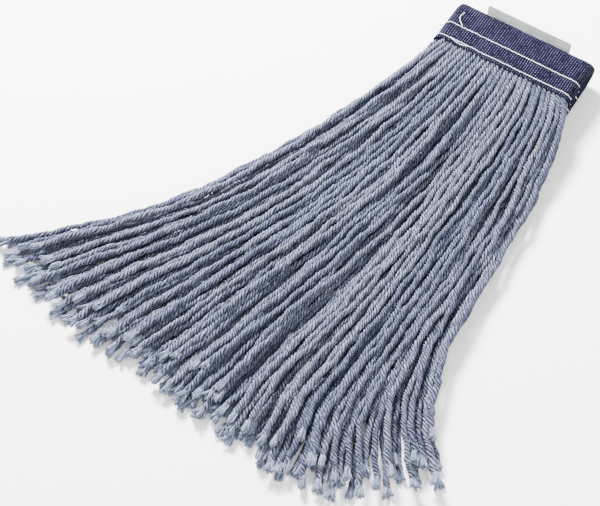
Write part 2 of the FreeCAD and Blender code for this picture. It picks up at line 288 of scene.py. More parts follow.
def close_pairs(places, owner, reach):
    """Index pairs of places on different strands that are nearer than reach."""
    cells = np.floor((places - places.min(0)) / reach).astype(np.int64)
    size = cells.max(0) + 3
    key = (cells[:, 0] * size[1] + cells[:, 1]) * size[2] + cells[:, 2]
    order = np.argsort(key, kind="stable")
    ordered = key[order]
    firsts, seconds = [], []
    for dx in (0, 1):
        for dy in (-1, 0, 1):
            for dz in (-1, 0, 1):
                if (dx, dy, dz) < (0, 0, 0):
                    continue
                wanted = key + (dx * size[1] + dy) * size[2] + dz
                low = np.searchsorted(ordered, wanted, "left")
                count = np.searchsorted(ordered, wanted, "right") - low
                first = np.repeat(np.arange(len(key)), count)
                step = np.arange(count.sum()) - np.repeat(np.cumsum(count) - count, count)
                second = order[np.repeat(low, count) + step]
                if (dx, dy, dz) == (0, 0, 0):
                    keep = first < second
                    first, second = first[keep], second[keep]
                firsts.append(first)
                seconds.append(second)
    first, second = np.concatenate(firsts), np.concatenate(seconds)
    keep = owner[first] != owner[second]
    first, second = first[keep], second[keep]
    near = ((places[first] - places[second]) ** 2).sum(1) < reach**2
    return first[near], second[near]


def end_limit(z):
    """How far from the band's middle a strand can lie at a height, inside the rounded ends."""
    off_middle = abs(abs(z) - MID_HEIGHT)
    return BAND_LENGTH / 2 - END_RADIUS + math.sqrt(max(END_ROOM**2 - off_middle**2, 0))


def stray(routes):
    """The part's routes without the gaps between hanks, and with clumps and each strand's own wander."""
    along = np.linspace(0, 1, STATIONS)
    loose = along**2 / (along**2 + STIFF_ROOT)
    left = np.array([left_edge(share) for share in along]) + LEFT_PULL * np.sin(math.pi * along**1.5)
    right = np.array([right_edge(share) for share in along])
    right += RIGHT_BULGE * np.exp(-(((along - BULGE_PLACE) / BULGE_REACH) ** 2))
    rooted = np.array([1 - smooth(share / ROOT_SHARE) for share in along])
    clumped = np.minimum(along * 4, 1) ** 1.5
    lifted = np.minimum(along[1:] * 3, 1)
    moved = routes.copy()
    for index, (half, rank) in enumerate(STRANDS):
        between = INTERLEAVE if half == "front" else -INTERLEAVE
        even = left + (right - left) * (rank + 0.5 + between * along) / STRANDS_PER_HALF
        gapped = np.array([sideways(rank, share) for share in along])
        inset = 3 if rank % LAYERS == 1 else 1  # half spacings from the side to its layer's last strand
        outermost = ROOT_WIDTH / 2 * (1 - inset / STRANDS_PER_HALF)
        squeeze = 1 - end_limit(routes[index, 0, 2]) / outermost
        phases = RNG.uniform(0, 2 * math.pi, 3)
        turns = RNG.uniform(FEWEST_TURNS, MOST_TURNS)
        shares = RNG.uniform(0.35, 1.0, 3) * WANDER_SHARES
        own = (shares * np.sin(np.outer(along, turns) + phases)).sum(1) - (shares * np.sin(phases)).sum()
        clump = sum(np.sin(2 * math.pi * rank / size + lean * along) for size, lean in CLUMP_WAVES)
        clump *= 1 if half == "front" else -1
        calm = 1 - CALM * smooth((rank / STRANDS_PER_HALF - CALM_START) / CALM_SPAN) * along
        moved[index, :, 0] += even - gapped - even * squeeze * rooted
        moved[index, :, 0] += WANDER * own * loose * calm + CLUMP * clump * calm * clumped
        moved[index, 1:, 2] += RNG.uniform(*LIFT, STATIONS - 1) * lifted
        moved[index, -2:, :2] += RNG.normal(0, END_SWAY, (2, 2)).T
    return moved


def settle(routes):
    """Lets the strands sink onto each other and the floor, with their lengths kept."""
    count = len(routes)
    weights = spline_weights(STATIONS, DENSE)
    share = weights.sum(0)
    owner = np.repeat(np.arange(count), DENSE)
    control = stray(routes)
    held = control[:, :2].copy()
    rest = np.linalg.norm(np.diff(routes, axis=1), axis=2) * SLACK
    pinned = held.shape[1]
    for step in range(SETTLE_STEPS):
        control[:, pinned:, 2] -= SINK
        places = np.einsum("ds,nsk->ndk", weights, control).reshape(-1, 3)
        if step % SEARCH_EVERY == 0:
            first, second = close_pairs(places, owner, STRAND_DIAMETER + SEARCH_MARGIN)
        apart = places[first] - places[second]
        distance = np.linalg.norm(apart, axis=1)
        gap = np.maximum(STRAND_DIAMETER - distance, 0) * 0.5
        push = apart / np.maximum(distance, 1e-6)[:, None] * gap[:, None]
        moved = np.zeros_like(places)
        for axis in range(3):
            moved[:, axis] += np.bincount(first, push[:, axis], len(places))
            moved[:, axis] -= np.bincount(second, push[:, axis], len(places))
        touched = sum(np.bincount(ends, gap > 0, len(places)) for ends in (first, second))
        moved /= np.maximum(touched, 1)[:, None] ** 0.5
        sunk = np.maximum(FLOOR + STRAND_DIAMETER / 2 - places[:, 2], 0)
        moved[:, 2] += sunk
        change = np.einsum("ds,ndk->nsk", weights, moved.reshape(count, DENSE, 3))
        control[:, pinned:] += (change / share[None, :, None])[:, pinned:] * PUSH
        bend = control[:, :-2] - 2 * control[:, 1:-1] + control[:, 2:]
        control[:, pinned:-1] += UNBEND * bend[:, pinned - 1 :]
        for _ in range(2):
            span = np.diff(control, axis=1)
            length = np.linalg.norm(span, axis=2)
            fix = span * ((length - rest) / length)[..., None] * 0.5
            control[:, 1:-1] += (fix[:, 1:] - fix[:, :-1]) * HOLD_LENGTH
            control[:, -1] -= fix[:, -1]
            control[:, :pinned] = held
        drift = control - routes
        far = np.linalg.norm(drift, axis=2, keepdims=True)
        control = routes + drift * np.minimum(1, DRIFT_LIMIT / np.maximum(far, 1e-9))
    return control


def nurbs_path(points):
    """Places along the smooth spline whose control points are the route's points."""
    curve = bpy.data.curves.new("route", "CURVE")
    curve.dimensions = "3D"
    curve.resolution_u = 24
    spline = curve.splines.new("NURBS")
    spline.points.add(len(points) - 1)
    for control, place in zip(spline.points, points):
        control.co = (*place, 1.0)
    spline.order_u = 3
    spline.use_endpoint_u = True
    holder = bpy.data.objects.new("route", curve)
    mesh = bpy.data.meshes.new_from_object(holder)
    path = np.empty(len(mesh.vertices) * 3)
    mesh.vertices.foreach_get("co", path)
    bpy.data.meshes.remove(mesh)
    bpy.data.objects.remove(holder)
    bpy.data.curves.remove(curve)
    return path.reshape(-1, 3)


def evenly(path, spacing):
    """The same path with places evenly spaced."""
    steps = np.linalg.norm(np.diff(path, axis=0), axis=1)
    travelled = np.concatenate([[0], np.cumsum(steps)])
    count = max(int(travelled[-1] / spacing), 2)
    at = np.linspace(0, travelled[-1], count + 1)
    return np.stack([np.interp(at, travelled, path[:, axis]) for axis in range(3)], axis=1)


# ---- Meshes ----


class MeshMaker:
    """Collects tubes and slabs into one mesh, with two vectors at each point for the materials.

    shade holds what a point is like: its strand's tint, how deep it lies in a groove between plies, which
    the yarn's material paints dark as shade, and how far its yarn is opened; lie holds where it is along
    and across its yarn or tape.
    """

    def __init__(self):
        self.places = []
        self.shades = []
        self.lies = []
        self.quads = []
        self.caps = []
        self.count = 0

    def points(self, places, shade, lie):
        """Adds a grid of points and gives their index numbers."""
        shape = places.shape[:-1]
        index = self.count + np.arange(shape[0] * shape[1]).reshape(shape)
        self.places.append(places.reshape(-1, 3))
        self.shades.append(np.broadcast_to(shade, places.shape).reshape(-1, 3))
        self.lies.append(np.broadcast_to(lie, places.shape).reshape(-1, 3))
        self.count += index.size
        return index

    def faces(self, index):
        """Joins a grid of points into quads."""
        corners = (index[:-1, :-1], index[:-1, 1:], index[1:, 1:], index[1:, :-1])
        self.quads.append(np.stack(corners, axis=-1).reshape(-1, 4))

    def tube(self, rings, shade, lie):
        """A closed tube from rings of places, shape (rings, sides, 3)."""
        index = self.points(rings, shade, lie)
        self.faces(np.concatenate([index, index[:, :1]], axis=1))
        self.caps += [index[0][::-1], index[-1]]

    def slab(self, outer, inner, shade, lie):
        """A closed sheet between two grids of places, shape (rows, columns, 3)."""
        top = self.points(outer, shade, lie)
        bottom = self.points(inner, shade, lie)
        self.faces(top)
        self.faces(bottom[::-1])
        forth, back = slice(None), slice(None, None, -1)
        for rim in ((0, forth), (forth, -1), (-1, back), (back, 0)):
            self.faces(np.stack([bottom[rim], top[rim]]))

    def build(self, name, material):
        """The finished object."""
        quads = np.concatenate(self.quads)
        lengths = [4] * len(quads) + [len(cap) for cap in self.caps]
        loops = np.concatenate([quads.ravel(), *self.caps])
        starts = np.cumsum([0] + lengths[:-1])
        mesh = bpy.data.meshes.new(name)
        mesh.vertices.add(self.count)
        mesh.vertices.foreach_set("co", np.concatenate(self.places).astype(np.float32).ravel())
        mesh.loops.add(len(loops))
        mesh.loops.foreach_set("vertex_index", loops.astype(np.int32))
        mesh.polygons.add(len(starts))
        mesh.polygons.foreach_set("loop_start", starts.astype(np.int32))
        mesh.update(calc_edges=True)
        mesh.polygons.foreach_set("use_smooth", np.ones(len(starts), bool))
        for word, vectors in (("shade", self.shades), ("lie", self.lies)):
            attribute = mesh.attributes.new(word, "FLOAT_VECTOR", "POINT")
            attribute.data.foreach_set("vector", np.concatenate(vectors).astype(np.float32).ravel())
        mesh.materials.append(material)
        mesh.validate()
        return add_object(name, mesh)


def frames(path):
    """Tangents and two side directions that don't twist, at each place of a path."""
    tangents = np.gradient(path, axis=0)
    tangents /= np.linalg.norm(tangents, axis=1)[:, None]
    side = np.cross(tangents[0], (0, 0, 1.0))
    side /= np.linalg.norm(side)
    sides = np.empty_like(path)
    for index, tangent in enumerate(tangents):
        side = side - tangent * (side @ tangent)
        side /= np.linalg.norm(side)
        sides[index] = side
    return tangents, sides, np.cross(tangents, sides)


def turned(path, spin, sides):
    """Unit vectors out of a path all round it, each ring turned by spin."""
    _, across, upward = frames(path)
    angle = np.linspace(0, 2 * math.pi, sides, endpoint=False)
    swung = angle[None, :] + np.broadcast_to(spin, len(path))[:, None]
    return angle, np.cos(swung)[..., None] * across[:, None] + np.sin(swung)[..., None] * upward[:, None]


def lie_round(path, angle, offset):
    """Where each point of a tube is: round its section, and along it."""
    steps = np.linalg.norm(np.diff(path, axis=0), axis=1)
    run = np.concatenate([[0], np.cumsum(steps)]) + offset
    return np.stack(np.broadcast_arrays(np.cos(angle), np.sin(angle), run[:, None]), axis=-1)


def round_tube(maker, path, radius, sides, shade, spin=0.0, offset=0.0):
    """A plain round tube with a radius at each place."""
    angle, out = turned(path, spin, sides)
    rings = path[:, None] + out * np.broadcast_to(radius, len(path))[:, None, None]
    maker.tube(rings, shade, lie_round(path, angle, offset))


PLY_PITCH = 0.0150  # length of one full turn of the four plies
PLY_DEPTH = 0.39  # depth of the groove between plies, as a part of the strand's radius
KINK = 0.00058  # how far the yarn's own crimp takes it off its line
KINK_START = 0.10  # how far down a strand its crimp is full
ROUGH = 0.055  # unevenness of the yarn's surface, as a part of its radius
FAT_PLY = 0.07  # how much one ply may stand out, in the same measure
PATTERN_SPAN = 40  # a strand's fibre pattern starts anywhere in it
FLUFF = 0.18  # how much thicker a strand is near its cut end
FLUFF_LENGTH = 0.12
TUFT_LENGTH = 0.014
TUFT_TAPER = 0.72  # how much of its thickness a strand loses inside its tuft
TUFT_PLACES = 12  # places at a path's end that give the tuft its direction
TUFT_FLARE = 0.0038  # how far the fibres of a strand built as a piece of its own may stand off its path
WIDE_TUFT_FLARE = 0.0068
TUFT_LOCKS = 4
LOCK_START = 0.0011  # from the strand's middle
LOCK_REACH = (0.74, 0.96)  # of the tuft's length
LOCK_WIDTH = 0.0017
LOCK_DOME = 0.0026  # how much shorter a lock's outer fibres are
LOCK_FIBRES = 12
FIBRE_CUT = (-0.0012, 0.0008)
FIBRE_RADIUS = (0.00050, 0.00080)
HAIR_RADIUS = (0.00008, 0.00014)
HAIR_CLEARANCE = 0.0002

# Waves along a strand: radians in a metre, and reach.
SIDE_CRIMP = ((90, 1.4), (210, 0.8), (470, 0.3))
UPWARD_CRIMP = ((100, 1.0), (290, 0.5))
THICKNESS_WAVES = ((95, 0.05), (240, 0.05), (610, 0.04))
TWIST_WAVES = ((110, 0.6), (260, 0.4), (470, 0.25))
DEPTH_WAVES = ((170, 0.22), (390, 0.22))


def waves(run, reaches, random):
    """A sum of waves along a strand, each with its own reach and a chance start."""
    return sum(reach * np.sin(run * rate + random.uniform(0, 2 * math.pi)) for rate, reach in reaches)


def yarn_strand(maker, path, sides, spacing, flare, hairs, random):
    """One four-ply strand along a path, with stray hairs, and its cut end opened into a tuft of fibres."""
    path = evenly(path, spacing)
    run = np.linspace(0, 1, len(path)) * np.linalg.norm(np.diff(path, axis=0), axis=1).sum()
    opened = np.clip(1 - (run[-1] - run) / TUFT_LENGTH, 0, 1)
    crimped = (KINK * np.clip((run - STUB) / KINK_START, 0, 1) * (1 - opened))[:, None]
    _, across, upward = frames(path)
    path = path + crimped * across * waves(run, SIDE_CRIMP, random)[:, None]
    path = path + crimped * upward * waves(run, UPWARD_CRIMP, random)[:, None]
    uneven = random.uniform(0.93, 1.1) + waves(run, THICKNESS_WAVES, random)
    fluffed = 1 + FLUFF * np.clip(1 - (run[-1] - run) / FLUFF_LENGTH, 0, 1)
    radius = STRAND_DIAMETER / 2 * uneven * fluffed * (1 - TUFT_TAPER * opened**1.3)
    pitch = PLY_PITCH * random.uniform(0.88, 1.14)
    spin = -2 * math.pi * (run - 0.35 * opened * TUFT_LENGTH) / pitch + random.uniform(0, 2 * math.pi)
    spin += waves(run, TWIST_WAVES, random)
    angle, out = turned(path, spin, sides)
    lobe = np.abs(np.cos(2 * angle))
    fat_ply = 1 + FAT_PLY * np.cos(angle + random.uniform(0, 2 * math.pi))
    depth = PLY_DEPTH * (1 + waves(run, DEPTH_WAVES, random))
    profile = (1 - depth[:, None] * (1 - lobe**0.7)) * fat_ply
    profile = profile * (1 + random.normal(0, ROUGH, profile.shape))
    rings = path[:, None] + out * (radius[:, None] * profile)[..., None]
    rings[..., 2] = np.maximum(rings[..., 2], FLOOR)
    tint = random.uniform(0, 1)
    offset = random.uniform(0, PATTERN_SPAN)
    # The second value marks the grooves between the plies, where the yarn's material paints shade.
    shade = np.stack(np.broadcast_arrays(tint, (1 - lobe)[None, :], opened[:, None]), axis=-1)
    maker.tube(rings, shade, lie_round(path, angle, offset))
    tuft(maker, path, spin[-1], flare, tint, random)
    stray_hairs(maker, path, hairs, tint, random)


def tuft(maker, path, spin, flare_limit, tint, random):
    """The cut end of a strand: its four plies part, each a lock of loosened fibres."""
    tangents, across, upward = frames(path[-TUFT_PLACES:])
    spacing = np.linalg.norm(path[-1] - path[-2])
    begin = path[-1] - tangents[-1] * min(TUFT_LENGTH * 0.9, spacing * (TUFT_PLACES - 1))
    at = np.linspace(0, 1, 6)[:, None]
    for ply in range(TUFT_LOCKS):
        facing = spin + math.pi / 2 * ply + random.normal(0, 0.25)
        out = math.cos(facing) * across[-1] + math.sin(facing) * upward[-1]
        curl = math.sin(facing) * across[-1] - math.cos(facing) * upward[-1]
        flare = random.uniform(0.3, 1.0) * (flare_limit - LOCK_WIDTH - 0.0001)
        bend = random.uniform(-0.3, 0.3) * flare_limit
        lock = begin + out * (LOCK_START + flare * at**1.15) + curl * bend * at**2
        reach = TUFT_LENGTH * random.uniform(*LOCK_REACH)
        lock = lock + tangents[-1] * reach * np.sin(at * random.uniform(1.35, 1.57))
        for _ in range(LOCK_FIBRES):
            turn = random.uniform(0, 2 * math.pi)
            spread = LOCK_WIDTH * math.sqrt(random.uniform(0, 1))
            aside = (math.cos(turn) * out + math.sin(turn) * curl) * spread * (0.7 + 0.3 * np.sin(2.5 * at))
            cut = random.uniform(*FIBRE_CUT) - LOCK_DOME * (spread / LOCK_WIDTH) ** 2
            line = lock + aside + tangents[-1] * cut * at**2
            line[:, 2] = np.maximum(line[:, 2], FLOOR + FIBRE_RADIUS[1])
            thick = random.uniform(*FIBRE_RADIUS) * (1 - 0.7 * at[:, 0] ** 4)
            # The fixed groove value paints a little shade over each tuft fibre; its opened end lifts most
            # of it.
            round_tube(maker, line, thick, 4, (tint, 0.2, 1.0), offset=random.uniform(0, PATTERN_SPAN))


def stray_hairs(maker, path, count, tint, random):
    """Fine fibre ends that stand off a strand."""
    _, across, upward = frames(path)
    at = np.linspace(0, 1, 4)[:, None]
    for _ in range(count):
        place = random.integers(10, len(path) - 14)
        reach = random.integers(3, 6)
        turn = random.uniform(0, 2 * math.pi)
        out = math.cos(turn) * across[place] + math.sin(turn) * upward[place]
        side = math.sin(turn) * across[place] - math.cos(turn) * upward[place]
        way = path[place + reach] - path[place]
        bow = random.uniform(0.15, 0.6)
        stand = STRAND_DIAMETER / 2 * (0.85 + bow * np.sin(at * random.uniform(1.6, 3.0)))
        line = path[place] + way * at + out * stand + side * random.uniform(-0.0018, 0.0018) * at**2
        line[:, 2] = np.maximum(line[:, 2], FLOOR + HAIR_CLEARANCE)
        thick = random.uniform(*HAIR_RADIUS)
        # The fixed groove value paints an even shade over each stray hair.
        round_tube(maker, line, thick, 3, (tint, 0.1, 0.6), offset=random.uniform(0, PATTERN_SPAN))


# ---- Materials ----


class Look:
    """A node material, with short ways to add its nodes."""

    def __init__(self, name, **constants):
        self.material = bpy.data.materials.new(name)
        self.material.use_nodes = True
        self.tree = self.material.node_tree
        self.shader = self.tree.nodes["Principled BSDF"]
        for socket, value in constants.items():
            self.shader.inputs[socket.replace("_", " ")].default_value = value

    def node(self, kind, *inputs, **settings):
        """A node with its inputs in order; an input is a socket, a value, or None to leave it."""
        made = self.tree.nodes.new(kind)
        for word, value in settings.items():
            setattr(made, word, value)
        for socket, value in zip(made.inputs, inputs):
            if isinstance(value, bpy.types.NodeSocket):
                self.tree.links.new(value, socket)
            elif value is not None:
                socket.default_value = value
        return made

    def calc(self, operation, *inputs, clamp=False):
        """A maths node's result."""
        return self.node("ShaderNodeMath", *inputs, operation=operation, use_clamp=clamp).outputs[0]

    def vector(self, operation, *inputs):
        """A vector maths node's result."""
        return self.node("ShaderNodeVectorMath", *inputs, operation=operation).outputs[0]

    def attribute(self, word):
        """One of the mesh's vectors."""
        made = self.node("ShaderNodeAttribute", attribute_name=word)
        return made.outputs["Vector"]

    def split(self, vector):
        """A vector's three numbers."""
        return self.node("ShaderNodeSeparateXYZ", vector).outputs[:]

    def noise(self, vector, scale, detail=3.0, roughness=0.55):
        """Soft random values about one half."""
        made = self.node("ShaderNodeTexNoise", vector, None, scale, detail, roughness)
        return made.outputs["Fac"]

    def level(self, value, low, high, to_low=0.0, to_high=1.0):
        """Value taken from one range to another, and kept inside it."""
        made = self.node("ShaderNodeMapRange", value, low, high, to_low, to_high, clamp=True)
        return made.outputs[0]

    def mix(self, factor, first, second):
        """One colour turning into another."""
        made = self.node("ShaderNodeMix", data_type="RGBA")
        for socket, value in zip((made.inputs[0], made.inputs[6], made.inputs[7]), (factor, first, second)):
            if isinstance(value, bpy.types.NodeSocket):
                self.tree.links.new(value, socket)
            else:
                socket.default_value = value
        return made.outputs[2]

    def finish(self, colour, height, distance, strength=1.0):
        """Sets the shader's colour and bump, and gives the material. Height is in units of distance."""
        self.tree.links.new(colour, self.shader.inputs["Base Color"])
        bump = self.node("ShaderNodeBump")
        bump.inputs["Strength"].default_value = strength
        bump.inputs["Distance"].default_value = distance
        self.tree.links.new(height, bump.inputs["Height"])
        self.tree.links.new(bump.outputs[0], self.shader.inputs["Normal"])
        return self.material


def colour(red, green, blue):
    """A colour from its 0 to 255 screen values."""
    return [*(((value / 255 + 0.055) / 1.055) ** 2.4 for value in (red, green, blue)), 1.0]


YARN_COLOURS = (colour(117, 124, 147), colour(155, 161, 182))
YARN_CLOUD = colour(98, 108, 152)
YARN_CUT_END = colour(168, 181, 207)
# The dark end of the yarn's colour: its heather's darkest fibres, and painted shade in the grooves between
# the plies.
YARN_DARK_FIBRE_AND_SHADE = colour(7, 9, 24)
NAVY_COLOURS = (colour(4, 4, 12), colour(11, 11, 28))
NAVY_WORN = colour(8, 7, 14)
NAVY_DASH = colour(140, 140, 184)
THREAD_FINISH = {"Roughness": 0.6, "Sheen_Weight": 0.15, "Sheen_Roughness": 0.4}
THREAD_COLOURS = (colour(214, 216, 228), colour(252, 252, 255))
PLASTIC_COLOURS = (colour(150, 151, 154), colour(188, 189, 191))
RIB_PITCH = 0.0026
DASH_PITCH = 0.0027


def yarn_look():
    """Soft heathered blue-grey cotton, with shade painted dark in the grooves between the plies, and paler
    at the cut ends.
    """
    look = Look("yarn", Roughness=0.95, Specular_IOR_Level=0.04, Sheen_Weight=0.02, Sheen_Roughness=0.5)
    tint, groove_shade_mask, opened = look.split(look.attribute("shade"))
    lie = look.attribute("lie")
    fibres = look.noise(look.vector("MULTIPLY", lie, (5.0, 5.0, 420.0)), 1.0, 2.0, 0.7)
    flecks = look.noise(look.vector("MULTIPLY", lie, (1.5, 1.5, 380.0)), 1.0, 1.0)
    clouds = look.noise(look.vector("MULTIPLY", lie, (0.5, 0.5, 34.0)), 1.0, 2.0)
    # Painted shade: the grooves between the plies are darkened toward the dark colour, except where the
    # yarn is opened at its cut end.
    crest = look.calc("SUBTRACT", 1.0, look.calc("POWER", groove_shade_mask, 0.7))
    crest = look.calc("MAXIMUM", crest, look.calc("MULTIPLY", opened, 0.95))
    speckle = look.calc("MULTIPLY", look.level(flecks, 0.38, 0.62), 0.6)
    speckle = look.calc("MULTIPLY_ADD", look.level(fibres, 0.36, 0.64), 0.4, speckle)
    lit = look.calc("MULTIPLY", look.calc("MULTIPLY_ADD", speckle, 0.85, 0.15), crest)
    pale = look.mix(tint, *YARN_COLOURS)
    pale = look.mix(look.level(clouds, 0.35, 0.7, 0.0, 0.35), pale, YARN_CLOUD)
    pale = look.mix(look.calc("MULTIPLY", opened, 0.75), pale, YARN_CUT_END)
    return look.finish(look.mix(lit, YARN_DARK_FIBRE_AND_SHADE, pale), fibres, 0.0007, 1.0)


def tape_look(name, dashes):
    """Navy tape whose ribs run across its length and show as rows of short pale dashes, so strongly."""
    look = Look(name, Roughness=0.9, Specular_IOR_Level=0.03)
    lie = look.attribute("lie")
    sway = look.noise(lie, 30.0, 1.0)
    along, across, _ = look.split(lie)
    along = look.calc("ADD", along, look.calc("MULTIPLY_ADD", sway, 0.0016, -0.0008))
    rib_run = look.calc("DIVIDE", along, RIB_PITCH)
    rib = look.calc("FLOOR", rib_run)
    in_rib = look.calc("ABSOLUTE", look.calc("SUBTRACT", look.calc("FRACT", rib_run), 0.5))
    lag = look.calc("FRACT", look.calc("MULTIPLY", rib, 0.618))
    dash_run = look.calc("ADD", look.calc("DIVIDE", across, DASH_PITCH), lag)
    in_dash = look.calc("ABSOLUTE", look.calc("SUBTRACT", look.calc("FRACT", dash_run), 0.5))
    rib_shape = look.level(in_rib, 0.03, 0.18, 1.0, 0.0)
    dash_shape = look.level(in_dash, 0.14, 0.34, 1.0, 0.10)
    own = look.node("ShaderNodeCombineXYZ", rib, look.calc("FLOOR", dash_run), 0.0).outputs[0]
    chance = look.node("ShaderNodeTexWhiteNoise", own, noise_dimensions="3D").outputs[0]
    patches = look.noise(lie, 55.0, 2.0)
    shown = look.level(look.calc("MULTIPLY_ADD", chance, 0.5, patches), 0.38, 1.25)
    dash = look.calc("MULTIPLY", look.calc("MULTIPLY", rib_shape, dash_shape), shown)
    dash = look.calc("MULTIPLY", dash, dashes)
    grain = look.noise(look.vector("MULTIPLY", lie, (1500.0, 900.0, 1.0)), 1.0, 2.0)
    ground = look.mix(look.level(grain, 0.3, 0.7), *NAVY_COLOURS)
    worn = look.noise(lie, 28.0, 3.0)
    ground = look.mix(look.level(worn, 0.4, 0.75, 0.0, 0.5), ground, NAVY_WORN)
    cloth = look.mix(dash, ground, NAVY_DASH)
    relief = look.calc("MULTIPLY_ADD", dash, 0.4, look.calc("MULTIPLY", grain, 0.2))
    relief = look.calc("MULTIPLY_ADD", rib_shape, 0.7, relief)
    return look.finish(cloth, relief, 0.0004, 0.9)


def thread_look():
    """White sewing thread with its twist."""
    look = Look("thread", **THREAD_FINISH)
    lie = look.attribute("lie")
    twist = look.noise(look.vector("MULTIPLY", lie, (3.0, 3.0, 900.0)), 1.0, 1.0)
    body = look.mix(look.level(twist, 0.35, 0.65), *THREAD_COLOURS)
    return look.finish(body, twist, 0.0001, 0.7)


def frame_thread_look():
    """The same thread, for pieces that carry no marks of where they lie."""
    look = Look("plain_thread", **THREAD_FINISH)
    place = look.node("ShaderNodeTexCoord").outputs["Object"]
    place = look.vector("MULTIPLY", place, (1.0, 1.4, 1.4))
    wave = look.node("ShaderNodeTexWave", place, bands_direction="DIAGONAL")
    wave.inputs["Scale"].default_value = 320.0
    wave.inputs["Distortion"].default_value = 0.6
    twist = wave.outputs["Fac"]
    body = look.mix(look.level(twist, 0.2, 0.8), *THREAD_COLOURS)
    return look.finish(body, twist, 0.0001, 0.7)


def strip_look():
    """Translucent grey plastic with a faint milky grain and fine scratches."""
    look = Look("strip", Roughness=0.32, Transmission_Weight=0.5, IOR=1.46)
    place = look.node("ShaderNodeTexCoord").outputs["Object"]
    haze = look.noise(look.vector("MULTIPLY", place, (60.0, 60.0, 220.0)), 1.0, 4.0)
    scratches = look.noise(look.vector("MULTIPLY", place, (40.0, 900.0, 1600.0)), 1.0, 2.0)
    body = look.mix(look.level(haze, 0.35, 0.65), *PLASTIC_COLOURS)
    return look.finish(body, scratches, 0.00005, 0.5)


YARN = yarn_look()
COVER = tape_look("cover_tape", 0.68)
LINING = tape_look("lining_tape", 0.45)
THREAD = thread_look()
PLAIN_THREAD = frame_thread_look()
STRIP = strip_look()

# ---- The free yarn ----

PATH_STEP = 0.001
MOST_CUT = 0.022  # how much shorter than its route a strand of the front's top layer may be cut
UNDER_CUT = 0.2  # the other strands' share of that, which falls to nothing at the right edge
TRIM = 0.012  # how much shorter the strands are cut at one place right of the middle
TRIM_RANK = 66
TRIM_REACH = 4.5
DECLARED_EXTRA = range(1, 74, 6)  # strands of the front's middle layer that are built as pieces of their own too

# Sides, spacing of the rings, flare of the tuft, and stray hairs.
DECLARED_DETAIL = (16, 0.0015, TUFT_FLARE, 34)
FRONT_DETAIL = (16, 0.0018, WIDE_TUFT_FLARE, 26)
BACK_DETAIL = (12, 0.0022, WIDE_TUFT_FLARE, 12)

part_routes = np.array([strand_route(half, rank) for half, rank in STRANDS])
routes = settle(part_routes)


def strand_nodes(half, hank):
    """The frame's solids of one hank."""
    return [f"{half}_{hank}_strands_{bundle}" for bundle in BUNDLES]


def stub_and_path(route, short):
    """A strand's smooth line, cut short by so much, and run on straight into the band."""
    path = evenly(nurbs_path(route), PATH_STEP)
    path = path[: len(path) - int(short / PATH_STEP)]
    way = path[0] - path[1]
    way /= np.linalg.norm(way)
    return np.concatenate([[path[0] + way * STUB], path])


def hang(obj):
    """Applies the transform of a piece of yarn to its mesh."""
    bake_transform(obj)


makers = {(half, hank): MeshMaker() for half in ("back", "front") for hank in HANKS}
named = set()
for index, (half, rank) in enumerate(STRANDS):
    random = np.random.default_rng(STRAND_SEED + index)
    hank = HANKS[rank // STRANDS_PER_HANK]
    trim = TRIM * math.exp(-(((rank - TRIM_RANK) / TRIM_REACH) ** 2))
    on_top = half == "front" and rank % LAYERS == LAYERS - 1
    cut = random.uniform(0, MOST_CUT) * (1 if on_top else UNDER_CUT * (1 - rank / STRANDS_PER_HALF))
    path = stub_and_path(routes[index], trim + cut)
    if on_top or (half == "front" and rank in DECLARED_EXTRA):
        maker = MeshMaker()
        yarn_strand(maker, path, *DECLARED_DETAIL, random)
        obj = maker.build(f"front_strand_{rank:02d}", YARN)
        hang(obj)
        free_length(rank)
        if (half, hank) not in named:
            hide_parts(*strand_nodes(half, hank))
            named.add((half, hank))
    elif half == "front":
        yarn_strand(makers[half, hank], path, *FRONT_DETAIL, random)
    else:
        yarn_strand(makers[half, hank], path, *BACK_DETAIL, random)

for (half, hank), maker in makers.items():
    obj = maker.build(f"{half}_{hank}_lower_strands", YARN)
    hang(obj)
    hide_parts(*strand_nodes(half, hank))

# ---- The headband ----

SIDES = (("front", 1), ("back", -1))
HALF_STRAIGHT = BAND_LENGTH / 2 - END_RADIUS
FOLD_SPAN = math.pi * HALF_THICKNESS / 2  # along the cover, from the fold's crest to where the flap starts
HALF_LENGTH = HALF_STRAIGHT + END_RADIUS * math.pi / 2  # of the tape
HALF_WIDTH = FOLD_SPAN - LOWER_EDGE
END_CREST = 0.0178  # how far the fold still reaches at the band's ends
COVER_STEP = 0.0008
LINING_STEP = 0.0016
SHARP = math.radians(60)
ROWS = (LOWER_EDGE + LOWER_ROW_RISE, LOWER_EDGE + UPPER_ROW_RISE)
STITCH_PITCH = 0.006
STITCHED_TURN = math.radians(68)  # how far round the band's ends a row goes
STITCH_RISE = 0.00044  # height of a stitch's middle over the cloth
STITCH_DIVE = 0.0008  # how far below its middle its ends are
STITCH_SLIP = 0.00022  # how far a needle hole misses its row
THREAD_RADIUS = 0.00032
LOOSE_RADIUS = 0.00028
LOOSE_STEP = 0.0004
PUCKER = 0.00085  # depth of the cover along a row of stitches
PUCKER_REACH = 0.0017
RAY = 0.00012  # depth of the small folds that run off a stitch
RAY_REACH = 0.006
HEM = 0.004
FRAY_THREADS = 110
FRAY_RADIUS = (0.00010, 0.00019)
FRAY_SWEEP = 0.0022
FRAY_DROP = 0.0012
FRAY_LIFT = (-0.0004, 0.0012)
PACKED_RADIUS = 0.0026  # of a strand inside the band


